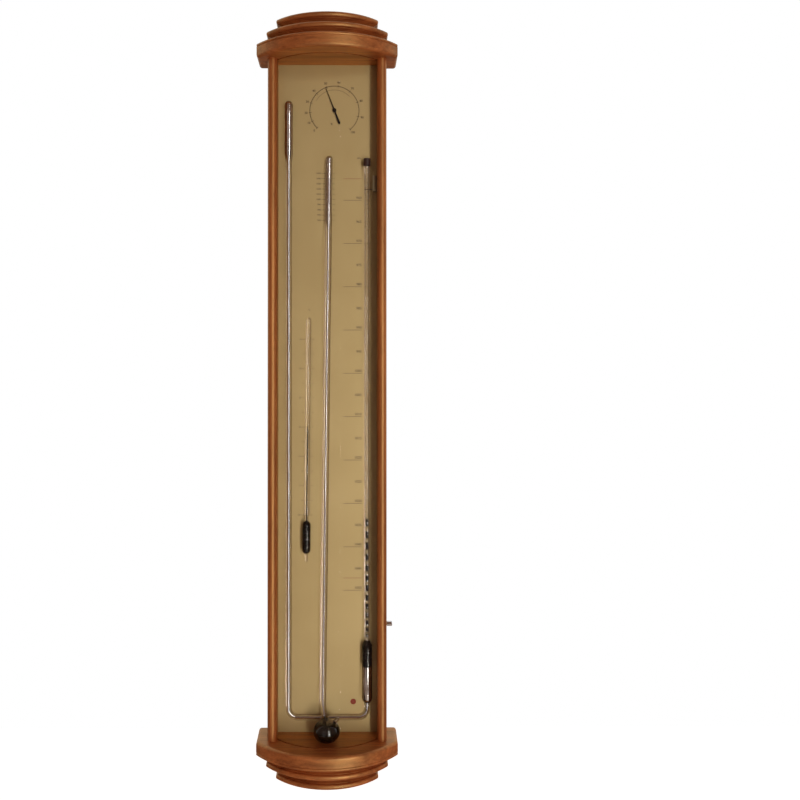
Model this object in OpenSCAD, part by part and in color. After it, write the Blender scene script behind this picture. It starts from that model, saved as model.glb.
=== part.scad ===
// Wall barometer in a wooden case with a bowed glass front.
// It holds a cistern barometer, a two-liquid contra barometer, a thermometer and a hygrometer.
// Millimetres. The origin is the hanging hole on the wall plane, the front faces -Y and +Z is up.

/* [Case] */
// Clear width between the two side boards
inner_w = 141; // [138:1:144]
// Space from the closed chamber of the contra barometer to the ceiling
chamber_clear = 54.2; // [50:0.2:60]
// Height of the ceiling above the hanging hole
hanger_drop = 18; // [17:0.5:23]
// Thickness of a side board
side_t = 13; // [12:0.5:15]
// Depth of a side board from the wall to its rounded front
side_depth = 46.5; // [45.5:0.5:50]
// Thickness of the back board
back_t = 12.5; // [12:0.25:13.25]
// Thickness of the metal scale plate
plate_t = 2; // [1.5:0.25:2.5]

/* [Bowed front] */
// How far the middle of the pane bulges past its edges
bow_rise = 30; // [27:0.5:32]
// Thickness of the pane
pane_t = 2; // [1.5:0.25:2.5]
// Setback of the pane's edge from the front of a side board
pane_setback = 8.5; // [8:0.25:9]
// How far the pane reaches into a side board
pane_bite = 2; // [1.5:0.25:2.5]
// How far the pane reaches into the floor and the ceiling
pane_seat = 4; // [3:0.5:6]
// Space all round the pane in its grooves
pane_fit = 0.3; // [0.2:0.05:0.4]

/* [Stepped caps] */
// Height of the largest step of a cap
large_step_t = 20; // [18:0.5:24]
// Height of the middle step and of the smallest step
small_step_t = 19; // [17:0.5:22]
// How far the largest step stands out past a side board
cap_overhang = 15.5; // [14:0.5:18]
// How far the largest step stands out in front of the pane
pane_ledge = 26; // [24:0.5:28]
// How far each step draws in from the one before
step_in = 13.5; // [12:0.5:14.5]
// Radius of the soft edge next to the opening
soft_edge_r = 4.5; // [3:0.5:6]
// Radius of the bead along the far edge of the largest step
bead_r = 2.4; // [1.6:0.2:3]
// Radius of the round nose of a smaller step
nose_r = 3.8; // [3:0.2:4.6]
// Depth of the cove between that nose and the larger step
cove_depth = 6.5; // [4:0.5:9]
// Radius of the dowels in the case
dowel_r = 3; // [2.5:0.25:3.25]
// Length of a dowel
dowel_len = 24; // [20:1:26]

/* [Hanging plate] */
// Width of the hanging plate
hanger_w = 40; // [38:1:46]
// Height of the hanging plate
hanger_h = 24; // [23:0.5:26]
// Thickness of the hanging plate
hanger_t = 2; // [1.5:0.25:2.5]
// Radius of the hole that the wall screw's head goes through
head_hole_r = 4.5; // [4:0.25:5]
// Width of the slot that the wall screw's neck rises into
neck_slot_w = 4.5; // [3.5:0.25:4.75]
// Rise from the hole to the end of the neck slot
neck_rise = 8; // [7:0.5:8.5]
// Depth of the hollow behind the hanging plate
head_hollow = 6; // [5:0.5:7]

/* [Cistern barometer] */
// Outer radius of the barometer tube
tube_r = 4.75; // [4.5:0.25:5]
// Radius of the wide bore at the top
wide_bore_r = 2.75; // [2.25:0.25:3]
// Radius of the narrow bore below
narrow_bore_r = 1.1; // [0.9:0.1:1.4]
// Length of the tube from its elbow to the top of its dome
tube_len = 778.4; // [770:1:784]
// Length of the wide bore with its dome
wide_bore_len = 95; // [85:1:105]
// Lean of the tube to the right
tube_lean = 0.68; // [0.4:0.02:0.8]
// Sideways place of the elbow
elbow_x = -6.5; // [-8:0.5:-5]
// Height of the elbow above the floor
elbow_rise = 45.2; // [44:0.2:48]
// Outer radius of the round cistern
cistern_r = 18.75; // [18:0.25:19]
// Height of the cistern
cistern_h = 28; // [26:0.5:29]
// Wall of the cistern
cistern_wall = 1.5; // [1.2:0.1:2]
// Sideways place of the cistern
cistern_x = -0.4; // [-2:0.2:1]
// Space from the cistern to the pane
cistern_clear = 1.75; // [1.25:0.25:2.5]
// Space from the cistern to the floor
cistern_lift = 0.5; // [0.3:0.1:1]
// Depth of the mercury in the cistern
cistern_fill = 24; // [20:0.5:24.5]
// Outer radius of the open filling neck
filler_r = 2.8; // [2.5:0.1:3]

/* [Contra barometer] */
// Radius of the narrow glass tube
contra_r = 4.2; // [3.8:0.1:4.4]
// Radius of its bore
contra_bore_r = 1.6; // [1.3:0.1:2]
// Space from the middle of the closed leg to the side board
closed_inset = 15.4; // [14:0.2:16.6]
// Space from the middle of the open leg to the side board
open_inset = 14; // [13.5:0.25:15]
// Height of the cross tube above the floor
cross_rise = 24.6; // [23.6:0.2:27]
// Radius of the bends at both ends of the cross tube
bend_r = 13; // [11:0.5:14]
// Height of the top of the closed chamber above the cross tube
closed_top = 877.2; // [872:1:884]
// Radius of the closed chamber
chamber_r = 6; // [5.2:0.1:6.4]
// Length of the closed chamber
chamber_len = 76; // [72:1:80]
// Radius of the open leg's chamber
reservoir_r = 7.25; // [6:0.25:7.5]
// Length of the open leg's chamber
reservoir_len = 82.5; // [78:0.5:90]
// Height of the open leg's chamber above the cross tube
reservoir_rise = 20; // [18:0.5:22]
// Height of the top of the open leg above the cross tube
open_top = 794; // [788:1:800]
// Height of the mercury in the open leg above the cross tube
contra_level = 72; // [60:1:80]
// Height of the top of the coloured liquid above the cross tube
liquid_top = 288; // [270:1:300]

/* [Thermometer] */
// Radius of the thermometer's stem
stem_r = 3.6; // [3.3:0.1:4]
// Radius of the thermometer's bulb
bulb_r = 6; // [5.5:0.25:6.5]
// Length of the bulb
bulb_len = 47; // [42:1:50]
// Length of the stem above the bulb
stem_len = 288.4; // [280:1:294]
// Height of the bottom of the bulb above the floor
bulb_rise = 256.4; // [250:1:262]
// Sideways place of the bulb
bulb_x = -30; // [-31:0.5:-29]
// Lean of the stem to the right
stem_lean = 0.57; // [0.3:0.02:0.8]
// Height of the liquid thread above the bottom of the bulb
thread_top = 181; // [100:1:240]

/* [Hygrometer] */
// Sideways place of the pointer's arbor
hygro_x = 9.9; // [8:0.5:12]
// Depth of the arbor below the ceiling
hygro_drop = 65.4; // [64:0.5:68]
// Radius of the hygrometer's case
hygro_r = 27; // [26:0.5:28]
// Depth of the pocket for it in the back board
hygro_pocket = 8.5; // [8.25:0.25:9]
// Length of the pointer from its arbor to its tip
pointer_len = 34.5; // [32:0.5:36]
// Length of the pointer's tail
pointer_tail = 21; // [18:0.5:23]
// Angle of the pointer at rest, from the right-hand side
pointer_angle = 111; // [100:1:120]
// Turns of the humidity coil
coil_turns = 6; // [4:1:7]

/* [Set pointer] */
// Depth of the slot in the right side board
slot_depth = 8; // [7.5:0.25:8.5]
// Width of the slot
slot_w = 14.5; // [14.5:0.25:15]
// Height of the knob above the floor
knob_rise = 157.5; // [153:0.5:164]
// Height of the upper pulley above the floor
pulley_rise = 818; // [812:1:822]
// Height of the reading line above the floor
line_rise = 774.2; // [766:0.5:778]
// Radius of the knob
knob_r = 3.5; // [3.25:0.25:5]
// Length of the knob
knob_len = 7.4; // [7:0.2:10]
// Radius of the drum and of the pulley under the cord
sheave_r = 5; // [4.5:0.25:5]
// Radius of the cord
cord_r = 0.4; // [0.3:0.05:0.4]

/* [Ties] */
// Radius of the wire in the ties
wire_r = 0.3; // [0.2:0.05:0.35]
// Height of the upper tie on the cistern barometer above the floor
upper_tube_tie = 704; // [660:1:720]
// Height of the lower tie on the cistern barometer above the floor
lower_tube_tie = 64.4; // [60:1:80]
// Height of the lower tie on the closed leg above the floor
closed_leg_tie = 62; // [58:1:90]
// Space from a neck or a cap to the tie next to it
neck_tie_gap = 7; // [3:0.5:12]
// Height of the upper tie on the thermometer above the floor
upper_stem_tie = 572.1; // [560:1:574]

/* [Hidden] */
$fn = 64;

wood = [0.66, 0.36, 0.17];
gold = [0.74, 0.66, 0.44];
brass = [0.80, 0.65, 0.32];
steel = [0.72, 0.72, 0.74];
clear_glass = [0.78, 0.86, 0.86, 0.45];
silver = [0.62, 0.63, 0.66];
dark_liquid = [0.12, 0.06, 0.08];
black = [0.06, 0.06, 0.06];
grey = [0.45, 0.46, 0.45];

// Small clearances, and the overrun of a cut
slip = 0.05;
part_gap = 0.3;
cut = 1;

// Heights and widths of the case
z_ceiling = hanger_drop;
opening_h = cross_rise + closed_top + chamber_clear;
z_floor = z_ceiling - opening_h;
half_inner = inner_w / 2;
half_outer = half_inner + side_t;
closed_x = closed_inset - half_inner;
open_x = half_inner - open_inset;
plate_front = back_t + plate_t;

// The bow: one upright axis carries the pane and every step of the caps
pane_mid_d = side_depth - pane_setback + bow_rise;
pane_r = (half_inner * half_inner + bow_rise * bow_rise) / (2 * bow_rise);
bow_axis_y = pane_r - pane_mid_d;
groove_depth = pane_seat + pane_fit;
nose_fillet = 0.4;
cove_h = small_step_t - 2 * nose_r - nose_fillet;
cove_out = (pow(cove_h, 2) - pow(cove_depth, 2)) / (2 * cove_depth);
cove_r = cove_out + cove_depth;
large_reach = half_outer + cap_overhang;
large_bow = pane_r + pane_ledge;
cap_depth = pane_mid_d + pane_ledge;

// Dowels and screws of the case
dowel_hole = dowel_len / 2 + part_gap;
side_dowel_x = half_inner + side_t / 2;
dowel_back_d = 8;
dowel_front_inset = 11;
side_dowel_d = [dowel_back_d, side_depth - dowel_front_inset];
step_dowel_x = [38, 20];
step_dowel_d = 26;
screw_r = 1.9;
screw_len = 34;
screw_head_r = 3.8;
screw_head_h = 3;
back_screw_inset = 18;
back_screw_x = half_inner - back_screw_inset;

// Hanging plate
hanger_low = -10;
hanger_fit = 0.2;
hanger_screw_inset = 6;
hanger_screw_x = hanger_w / 2 - hanger_screw_inset;
hanger_screw_z = 1.5;
hanger_screw_r = 1.3;
hanger_screw_len = 8;
hollow_half_w = 6.5;
hollow_low = -6.5;
hollow_above_neck = 5;
hollow_high = neck_rise + hollow_above_neck;

// Glass tubes
tube_stand_off = 8.5;
tube_d = plate_front + tube_stand_off;
cistern_d = pane_mid_d - pane_t - cistern_clear - cistern_r;
cistern_z = z_floor + cistern_lift + cistern_h / 2;
cistern_level = cistern_z - cistern_h / 2 + cistern_wall + cistern_fill;
elbow_z = z_floor + elbow_rise;
link_vector = [cistern_x - elbow_x, tube_d - cistern_d, cistern_z - elbow_z];
link_len = norm(link_vector);
link_r = 4;
elbow_swell = 0.25;
shoulder_r = 8;
shoulder_from = 21;
shoulder_to = 10;
dip_r = 2.4;
filler_wall = 1.1;
filler_bore_r = filler_r - filler_wall;
filler_lean = 41;
filler_from = 8;
filler_stand = 4.5;
filler_len = cistern_r + filler_stand - filler_from;
bore_taper = 9;
dome_wall = 2;
cross_z = z_floor + cross_rise;
chamber_wall = 1.1;
chamber_taper = 11;
reservoir_taper = 6;
cap_len = 9.3;
cap_wall = 0.9;
air_hole_r = 0.6;
slugs = 14;
slug_growth = 1.35;
slug_share = 0.6;
bulb_wall = 0.8;
bulb_z = z_floor + bulb_rise;
neck_r = 2.5;
neck_len = 7;
thread_r = 0.6;
neck_taper = 2;
thread_end_gap = 22;
thread_bore_end = bulb_len + stem_len - thread_end_gap;
nipple_r = 2.2;
nipple_len = 9;
tip_r = 1.5;

// Ties: sideways place, height above the floor and tube radius of each
tie_hole_r = wire_r + part_gap;
tie_back_d = 1.5;
tie_recess_d = 3;
tie_recess_half_h = 1.5;
tube_ties = [for (rise = [upper_tube_tie, lower_tube_tie])
    [elbow_x + (rise - elbow_rise) * tan(tube_lean), rise, tube_r]];
contra_ties = [
    [closed_x, cross_rise + closed_top - chamber_len - chamber_taper - neck_tie_gap, contra_r],
    [closed_x, closed_leg_tie, contra_r],
    [open_x, cross_rise + open_top - cap_len - neck_tie_gap, contra_r],
    [open_x, cross_rise + reservoir_rise + reservoir_len + reservoir_taper + neck_tie_gap, contra_r]];
stem_ties = [for (rise = [upper_stem_tie, bulb_rise + bulb_len + neck_len + neck_tie_gap])
    [bulb_x + (rise - bulb_rise) * tan(stem_lean), rise, stem_r]];

// Hygrometer, its depths counted from the wall
hygro_z = z_ceiling - hygro_drop;
pocket_floor = back_t - hygro_pocket;
cup_wall = 1;
cup_floor_top = pocket_floor + cup_wall;
cup_front_gap = 0.5;
cup_h = hygro_pocket - cup_front_gap;
coil_lift = 0.6;
coil_low = cup_floor_top + coil_lift;
coil_w = 3.4;
coil_t = 0.5;
coil_steps = 18;
coil_in_r = 3.6;
coil_inset = 7.5;
coil_out_r = hygro_r - coil_inset;
post_r = 1.2;
post_ring_r = coil_out_r + coil_t / 2 + slip + post_r;
pillar_r = 2;
cup_gap = 0.4;
pillar_x = hygro_r - cup_wall - pillar_r - cup_gap;
bridge_low = coil_low + coil_w + cup_gap;
bridge_t = 1.2;
bridge_w = 7;
small_screw_r = 0.9;
small_head_r = 1.7;
bridge_half = pillar_x + small_head_r;
small_head_h = 0.8;
small_screw_len = 3.4;
case_screw_gap = 1;
case_screw_ring_r = hygro_r - cup_wall - small_head_r - case_screw_gap;
case_screw_angles = [-60, -120];
arbor_r = 0.8;
collar_r = coil_in_r - coil_t / 2 - part_gap;
arbor_hole_r = 2;
hub_r = 2.8;
hub_gap = 0.5;
hub_low = plate_front + hub_gap;
hub_t = 2.5;
hub_bore = 1.9;
pointer_gap = 1.2;
pointer_low = plate_front + pointer_gap;
pointer_t = 0.8;
pointer_root = 0.9;
pointer_tip = 0.25;
tail_r = 1.6;
vent_r = 2;
vent_ring_r = 15;
vents = 6;

// Set pointer and its cord drive
slot_gap = 1;
slot_low_d = plate_front + slot_gap;
slot_mid_d = slot_low_d + slot_w / 2;
slot_floor_x = half_inner + slot_depth;
knob_z = z_floor + knob_rise;
pulley_z = z_floor + pulley_rise;
line_z = z_floor + line_rise;
cord_x = half_inner + slot_depth / 2 + part_gap;
wrap_r = sheave_r + part_gap + cord_r;
sheave_w = 4;
rim_h = 1.1;
rim_r = sheave_r + rim_h;
rim_t = 0.9;
shaft_r = 1.5;
shaft_end = 0.8;
shaft_x = cord_x - sheave_w / 2 - shaft_end;
bush_r = 3;
bush_flange_r = 3.4;
bush_flange_t = 0.8;
knob_x = half_outer + bush_flange_t + part_gap;
knob_bore = 5.5;
knob_edge = 0.6;
pin_r = 1.2;
pin_collar_r = 2.3;
pin_wall = 1.5;
pin_bite = side_t - slot_depth - pin_wall;
pin_head_t = 1;
shoe_inset = 0.7;
shoe_x = half_inner + shoe_inset;
shoe_gap = 1;
shoe_end_x = slot_floor_x - shoe_gap;
cord_hole_r = cord_r + part_gap;
arm_stand_off = 8;
arm_x = open_x + arm_stand_off;
arm_low = 1;
arm_low_d = tube_d + arm_low;
arm_t = 7;
arm_high_d = arm_low_d + arm_t;
neck_high_d = slot_mid_d + slot_w / 2 - part_gap;
arm_end_x = half_inner - part_gap;
slider_h = 22;
line_above_foot = 2.4;
needle_stand_off = 7;
wire_d = tube_d + needle_stand_off;
needle_r = 0.5;
needle_past_leg = 3.8;
needle_x = open_x - needle_past_leg;
needle_bite = 3;

// Puts a piece at a sideways place, a depth from the wall and a height
module at(x, d, z) translate([x, -d, z]) children();

// A round bar that runs forwards from depth d
module bar_out(x, d, z, len, r) at(x, d, z) rotate([90, 0, 0]) cylinder(r = r, h = len);

// A round bar that runs to the right from x
module bar_right(x, d, z, len, r) at(x, d, z) rotate([0, 90, 0]) cylinder(r = r, h = len);

// Limits of a block: a half size either side of a middle, or a size from a start
function around(middle, half) = [middle - half, middle + half];
function from(start, size) = [start, start + size];

// A block by its sideways, depth and height limits
module block(x, d, z) translate([x[0], -d[1], z[0]]) cube([x[1] - x[0], d[1] - d[0], z[1] - z[0]]);

// Turns the children's upright axis to lie along a vector
module along(v) rotate([0, acos(v[2] / norm(v)), atan2(v[1], v[0])]) children();

module mirrored() {
    children();
    mirror([1, 0, 0]) children();
}

// Bowed pane and the grooves that hold it
module pane_ring(spare, z_from, z_to)
    translate([0, bow_axis_y, z_from]) difference() {
        cylinder(r = pane_r + spare, h = z_to - z_from);
        translate([0, 0, -cut]) cylinder(r = pane_r - pane_t - spare, h = z_to - z_from + 2 * cut);
    }

module pane_slice(spare, z_from, z_to)
    intersection() {
        pane_ring(spare, z_from, z_to);
        block(around(0, half_inner + pane_bite + spare), [0, cap_depth], [z_from, z_to]);
    }

module bow_glass() color(clear_glass) pane_slice(0, z_floor - pane_seat, z_ceiling + pane_seat);

// Half profile of the largest step: soft edge next to the opening, bead at the far edge
module large_profile(reach) {
    difference() {
        square([reach, large_step_t]);
        difference() {
            translate([reach - soft_edge_r, -cut]) square([soft_edge_r + cut, soft_edge_r + cut]);
            translate([reach - soft_edge_r, soft_edge_r]) circle(r = soft_edge_r);
        }
        translate([reach - bead_r, large_step_t - 2 * bead_r]) square([bead_r + cut, 2 * bead_r + cut]);
    }
    translate([reach - bead_r, large_step_t - bead_r]) circle(r = bead_r);
}

// Half profile of a smaller step: cove against the larger step, round nose at the far edge
module small_profile(reach)
    difference() {
        union() {
            square([reach - nose_r, small_step_t]);
            translate([reach - nose_r, small_step_t - nose_r]) circle(r = nose_r);
        }
        intersection() {
            square([reach - nose_r, small_step_t]);
            translate([reach - nose_r + cove_out, 0]) circle(r = cove_r);
        }
    }

module step_profile(level, reach)
    if (level == 0) large_profile(reach); else small_profile(reach);

// One step with mitred corners, its face next to the opening at height 0 and the rest above it
module plain_step(level)
    intersection() {
        translate([0, bow_axis_y, 0]) rotate_extrude() step_profile(level, large_bow - level * step_in);
        rotate([90, 0, 0]) linear_extrude(height = cap_depth + cut) {
            step_profile(level, large_reach - level * step_in);
            mirror([1, 0]) step_profile(level, large_reach - level * step_in);
        }
    }

module side_dowel_places() for (d = side_dowel_d) mirrored() at(side_dowel_x, d, 0) children();
module step_dowel_places(joint) mirrored() at(step_dowel_x[joint], step_dowel_d, 0) children();
module back_screw_places() mirrored() at(back_screw_x, back_t / 2, 0) children();
module dowel() translate([0, 0, -dowel_len / 2]) cylinder(r = dowel_r, h = dowel_len);
module dowel_socket() translate([0, 0, -dowel_hole]) cylinder(r = dowel_r + slip, h = 2 * dowel_hole);

// A countersunk wood screw with the top of its head at height 0
module wood_screw(spare) {
    translate([0, 0, -screw_head_h])
        cylinder(r1 = screw_r + spare, r2 = screw_head_r + spare, h = screw_head_h);
    translate([0, 0, -screw_len]) cylinder(r = screw_r + spare, h = screw_len - screw_head_h);
}

module large_step()
    difference() {
        plain_step(0);
        pane_slice(pane_fit, -cut, groove_depth);
        side_dowel_places() dowel_socket();
        translate([0, 0, large_step_t]) {
            step_dowel_places(0) dowel_socket();
            back_screw_places() wood_screw(slip);
        }
    }

module middle_step()
    translate([0, 0, large_step_t]) difference() {
        plain_step(1);
        step_dowel_places(0) dowel_socket();
        translate([0, 0, small_step_t]) step_dowel_places(1) dowel_socket();
    }

module small_step()
    translate([0, 0, large_step_t + small_step_t]) difference() {
        plain_step(2);
        step_dowel_places(1) dowel_socket();
    }

module in_cornice() translate([0, 0, z_ceiling]) children();
module in_plinth() translate([0, 0, z_floor]) mirror([0, 0, 1]) children();

module cornice_lower() color(wood) in_cornice() large_step();
module cornice_middle() color(wood) in_cornice() middle_step();
module cornice_upper() color(wood) in_cornice() small_step();
module plinth_upper() color(wood) in_plinth() large_step();
module plinth_middle() color(wood) in_plinth() middle_step();
module plinth_lower() color(wood) in_plinth() small_step();

module cap_dowels() {
    side_dowel_places() dowel();
    translate([0, 0, large_step_t]) step_dowel_places(0) dowel();
    translate([0, 0, large_step_t + small_step_t]) step_dowel_places(1) dowel();
}

module case_dowels() color(wood) {
    in_cornice() cap_dowels();
    in_plinth() cap_dowels();
}

module cap_screws(spare) translate([0, 0, large_step_t]) back_screw_places() wood_screw(spare);

module back_board_screws() color(steel) {
    in_cornice() cap_screws(0);
    in_plinth() cap_screws(0);
}

module side_board(slotted)
    difference() {
        union() {
            block([half_inner, half_outer], [0, side_depth - side_t / 2], [z_floor, z_ceiling]);
            at(half_inner + side_t / 2, side_depth - side_t / 2, z_floor)
                cylinder(r = side_t / 2, h = opening_h);
        }
        pane_slice(pane_fit, z_floor - cut, z_ceiling + cut);
        in_cornice() side_dowel_places() dowel_socket();
        in_plinth() side_dowel_places() dowel_socket();
        if (slotted) {
            block([half_inner - cut, slot_floor_x], from(slot_low_d, slot_w),
                [z_floor - cut, z_ceiling + cut]);
            bar_right(slot_floor_x - cut, slot_mid_d, knob_z, side_t, bush_r + slip);
            bar_right(slot_floor_x - cut, slot_mid_d, pulley_z, pin_bite + cut + part_gap, pin_r + slip);
        }
    }

module left_side_board() color(wood) mirror([1, 0, 0]) side_board(false);
module right_side_board() color(wood) side_board(true);

// Holes and the recess behind the board for one tie
module tie_cuts(tie, through_d) {
    ring_r = tie[2] + slip + wire_r;
    for (side = [-1, 1])
        bar_out(tie[0] + side * ring_r, -cut, z_floor + tie[1], through_d + 2 * cut, tie_hole_r);
}

module tie_recess(tie) {
    half = tie[2] + slip + wire_r + tie_hole_r;
    block(around(tie[0], half), [-cut, tie_recess_d], around(z_floor + tie[1], tie_recess_half_h));
}

module back_board()
    color(wood) difference() {
        block([-half_inner, half_inner], [0, back_t], [z_floor, z_ceiling]);
        block(around(0, hanger_w / 2 + hanger_fit), [-cut, hanger_t],
            from(hanger_low - hanger_fit, hanger_h + 2 * hanger_fit));
        block(around(0, hollow_half_w), [0, hanger_t + head_hollow], [hollow_low, hollow_high]);
        hanger_screw_places() cylinder(r = hanger_screw_r + slip, h = hanger_screw_len + part_gap);
        bar_out(hygro_x, pocket_floor, hygro_z, back_t, hygro_r + part_gap);
        vent_places() cylinder(r = vent_r, h = back_t);
        case_screw_places(-small_screw_len - part_gap) cylinder(r = small_screw_r + slip, h = back_t);
        in_cornice() cap_screws(slip);
        in_plinth() cap_screws(slip);
        for (tie = concat(tube_ties, contra_ties, stem_ties)) {
            tie_cuts(tie, back_t);
            tie_recess(tie);
        }
    }

module scale_plate()
    color(gold) difference() {
        block([-half_inner, half_inner], [back_t, plate_front], [z_floor, z_ceiling]);
        bar_out(hygro_x, 0, hygro_z, plate_front + cut, arbor_hole_r);
        for (tie = concat(tube_ties, contra_ties, stem_ties)) tie_cuts(tie, plate_front);
    }

// Hanging plate with its keyhole, let in flush with the back of the board
module hanger_screw_places()
    for (side = [-1, 1]) at(side * hanger_screw_x, 0, hanger_screw_z) rotate([90, 0, 0]) children();

module hanger_plate()
    color(steel) difference() {
        block(around(0, hanger_w / 2), [0, hanger_t], from(hanger_low, hanger_h));
        bar_out(0, -cut, 0, hanger_t + 2 * cut, head_hole_r);
        bar_out(0, -cut, neck_rise - neck_slot_w / 2, hanger_t + 2 * cut, neck_slot_w / 2);
        block(around(0, neck_slot_w / 2), [-cut, hanger_t + cut], [0, neck_rise - neck_slot_w / 2]);
        hanger_screw_places() hanger_screw(slip);
    }

module hanger_screw(spare) {
    cylinder(r1 = 2 * hanger_screw_r + spare, r2 = hanger_screw_r + spare, h = hanger_screw_r);
    cylinder(r = hanger_screw_r + spare, h = hanger_screw_len);
}

module hanger_screws() color(steel) hanger_screw_places() hanger_screw(0);

// A tie: a wire round the front of a tube, its ends joined behind the board
module wire_tie(tie) {
    ring_r = tie[2] + slip + wire_r;
    at(tie[0], tube_d, z_floor + tie[1]) {
        rotate([0, 0, 180]) rotate_extrude(angle = 180) translate([ring_r, 0]) circle(r = wire_r, $fn = 24);
        for (side = [-1, 1]) translate([side * ring_r, 0, 0]) rotate([-90, 0, 0])
            cylinder(r = wire_r, h = tube_d - tie_back_d, $fn = 24);
        translate([-ring_r, tube_d - tie_back_d, 0]) rotate([0, 90, 0])
            cylinder(r = wire_r, h = 2 * ring_r, $fn = 24);
    }
}

module barometer_ties() color(steel) for (tie = tube_ties) wire_tie(tie);
module contra_ties() color(steel) for (tie = contra_ties) wire_tie(tie);
module thermometer_ties() color(steel) for (tie = stem_ties) wire_tie(tie);

// Cistern barometer
module at_elbow() at(elbow_x, tube_d, elbow_z) children();

// The round cistern, drawn in by the thickness of a wall
module cistern_shape(wall)
    at(cistern_x, cistern_d, cistern_z) rotate_extrude() intersection() {
        union() {
            translate([cistern_r - cistern_h / 2, 0]) circle(r = cistern_h / 2 - wall);
            translate([0, -cistern_h / 2 + wall]) square([cistern_r - cistern_h / 2, cistern_h - 2 * wall]);
        }
        translate([0, -cistern_h]) square([cistern_r, 2 * cistern_h]);
    }

module filler(r, len)
    at(cistern_x, cistern_d, cistern_z) rotate([0, filler_lean, 0])
        translate([0, 0, filler_from]) cylinder(r = r, h = len);

module barometer_bore(spare) at_elbow() {
    narrow = narrow_bore_r - spare;
    wide = wide_bore_r - spare;
    narrow_len = tube_len - wide_bore_len - bore_taper;
    dome_z = tube_len - dome_wall - wide_bore_r;
    along(link_vector) cylinder(r = narrow, h = link_len + cut);
    rotate([0, tube_lean, 0]) {
        sphere(r = narrow + elbow_swell);
        cylinder(r = narrow, h = narrow_len);
        translate([0, 0, narrow_len]) cylinder(r1 = narrow, r2 = wide, h = bore_taper);
        translate([0, 0, narrow_len + bore_taper]) cylinder(r = wide, h = dome_z - narrow_len - bore_taper);
        translate([0, 0, dome_z]) sphere(r = wide);
    }
}

module barometer_tube()
    color(clear_glass) difference() {
        union() {
            difference() {
                union() {
                    cistern_shape(0);
                    filler(filler_r, filler_len);
                    at_elbow() along(link_vector) {
                        cylinder(r = link_r, h = link_len - shoulder_to);
                        translate([0, 0, link_len - shoulder_from])
                            cylinder(r1 = link_r, r2 = shoulder_r, h = shoulder_from - shoulder_to);
                    }
                }
                cistern_shape(cistern_wall);
            }
            at_elbow() {
                along(link_vector) cylinder(r = dip_r, h = link_len);
                rotate([0, tube_lean, 0]) {
                    sphere(r = tube_r);
                    cylinder(r = tube_r, h = tube_len - tube_r);
                    translate([0, 0, tube_len - tube_r]) sphere(r = tube_r);
                }
            }
        }
        barometer_bore(0);
        filler(filler_bore_r, filler_len + cut);
    }

module barometer_mercury()
    color(silver) union() {
        barometer_bore(slip);
        difference() {
            cistern_shape(cistern_wall + slip);
            at_elbow() along(link_vector) cylinder(r = dip_r + slip, h = link_len + slip);
            block(around(cistern_x, 2 * cistern_r), around(cistern_d, 2 * cistern_r),
                from(cistern_level, cistern_h));
        }
    }

// Contra barometer: the same shape gives the glass and, drawn in by the walls, its bore
module contra_bend(x, turn, r)
    at(x, tube_d, cross_z + bend_r) rotate([90, 0, 0]) rotate([0, 0, turn])
        rotate_extrude(angle = 90) translate([bend_r, 0]) circle(r = r);

module contra_shape(tube, wall, top_spare) {
    at(closed_x, tube_d, cross_z) {
        translate([0, 0, bend_r]) cylinder(r = tube, h = closed_top - chamber_len - bend_r);
        translate([0, 0, closed_top - chamber_len - chamber_taper])
            cylinder(r1 = tube, r2 = chamber_r - wall, h = chamber_taper);
        translate([0, 0, closed_top - chamber_len])
            cylinder(r = chamber_r - wall, h = chamber_len - chamber_r);
        translate([0, 0, closed_top - chamber_r]) sphere(r = chamber_r - wall);
    }
    contra_bend(closed_x + bend_r, 180, tube);
    bar_right(closed_x + bend_r, tube_d, cross_z, open_x - closed_x - 2 * bend_r, tube);
    contra_bend(open_x - bend_r, 270, tube);
    at(open_x, tube_d, cross_z) {
        translate([0, 0, bend_r]) cylinder(r = tube, h = open_top - bend_r + top_spare);
        translate([0, 0, reservoir_rise + reservoir_r]) sphere(r = reservoir_r - wall);
        translate([0, 0, reservoir_rise + reservoir_r])
            cylinder(r = reservoir_r - wall, h = reservoir_len - reservoir_r);
        translate([0, 0, reservoir_rise + reservoir_len])
            cylinder(r1 = reservoir_r - wall, r2 = tube, h = reservoir_taper);
    }
}

module contra_tube()
    color(clear_glass) difference() {
        contra_shape(contra_r, 0, 0);
        contra_shape(contra_bore_r, chamber_wall, cut);
    }

module open_leg_slice(low, high)
    block(around(open_x, 2 * reservoir_r), around(tube_d, 2 * reservoir_r),
        [cross_z + low, cross_z + high]);

module contra_mercury()
    color(silver) difference() {
        contra_shape(contra_bore_r - slip, chamber_wall + slip, 0);
        open_leg_slice(contra_level, open_top + cut);
    }

// The coloured liquid fills the open chamber and stands above it as drops that spread out upwards
module indicator_liquid() color(dark_liquid) {
    foot = reservoir_rise + reservoir_len + reservoir_taper;
    intersection() {
        contra_shape(contra_bore_r - slip, chamber_wall + slip, 0);
        open_leg_slice(contra_level + slip, foot);
    }
    for (i = [1:slugs - 1]) {
        low = foot + (liquid_top - foot) * pow(i / slugs, slug_growth);
        high = foot + (liquid_top - foot) * pow((i + slug_share) / slugs, slug_growth);
        at(open_x, tube_d, cross_z + low) cylinder(r = contra_bore_r - slip, h = high - low);
    }
}

module contra_cap()
    color(black) at(open_x, tube_d, cross_z + open_top - cap_len) difference() {
        cylinder(r = contra_r + cap_wall, h = cap_len + cap_wall);
        translate([0, 0, -cut]) cylinder(r = contra_r + slip, h = cap_len + cut);
        cylinder(r = air_hole_r, h = 2 * cap_len);
    }

// Thermometer, its upright axis leaning about the foot of the bulb
module on_stem_axis() at(bulb_x, tube_d, bulb_z) rotate([0, stem_lean, 0]) children();

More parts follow.
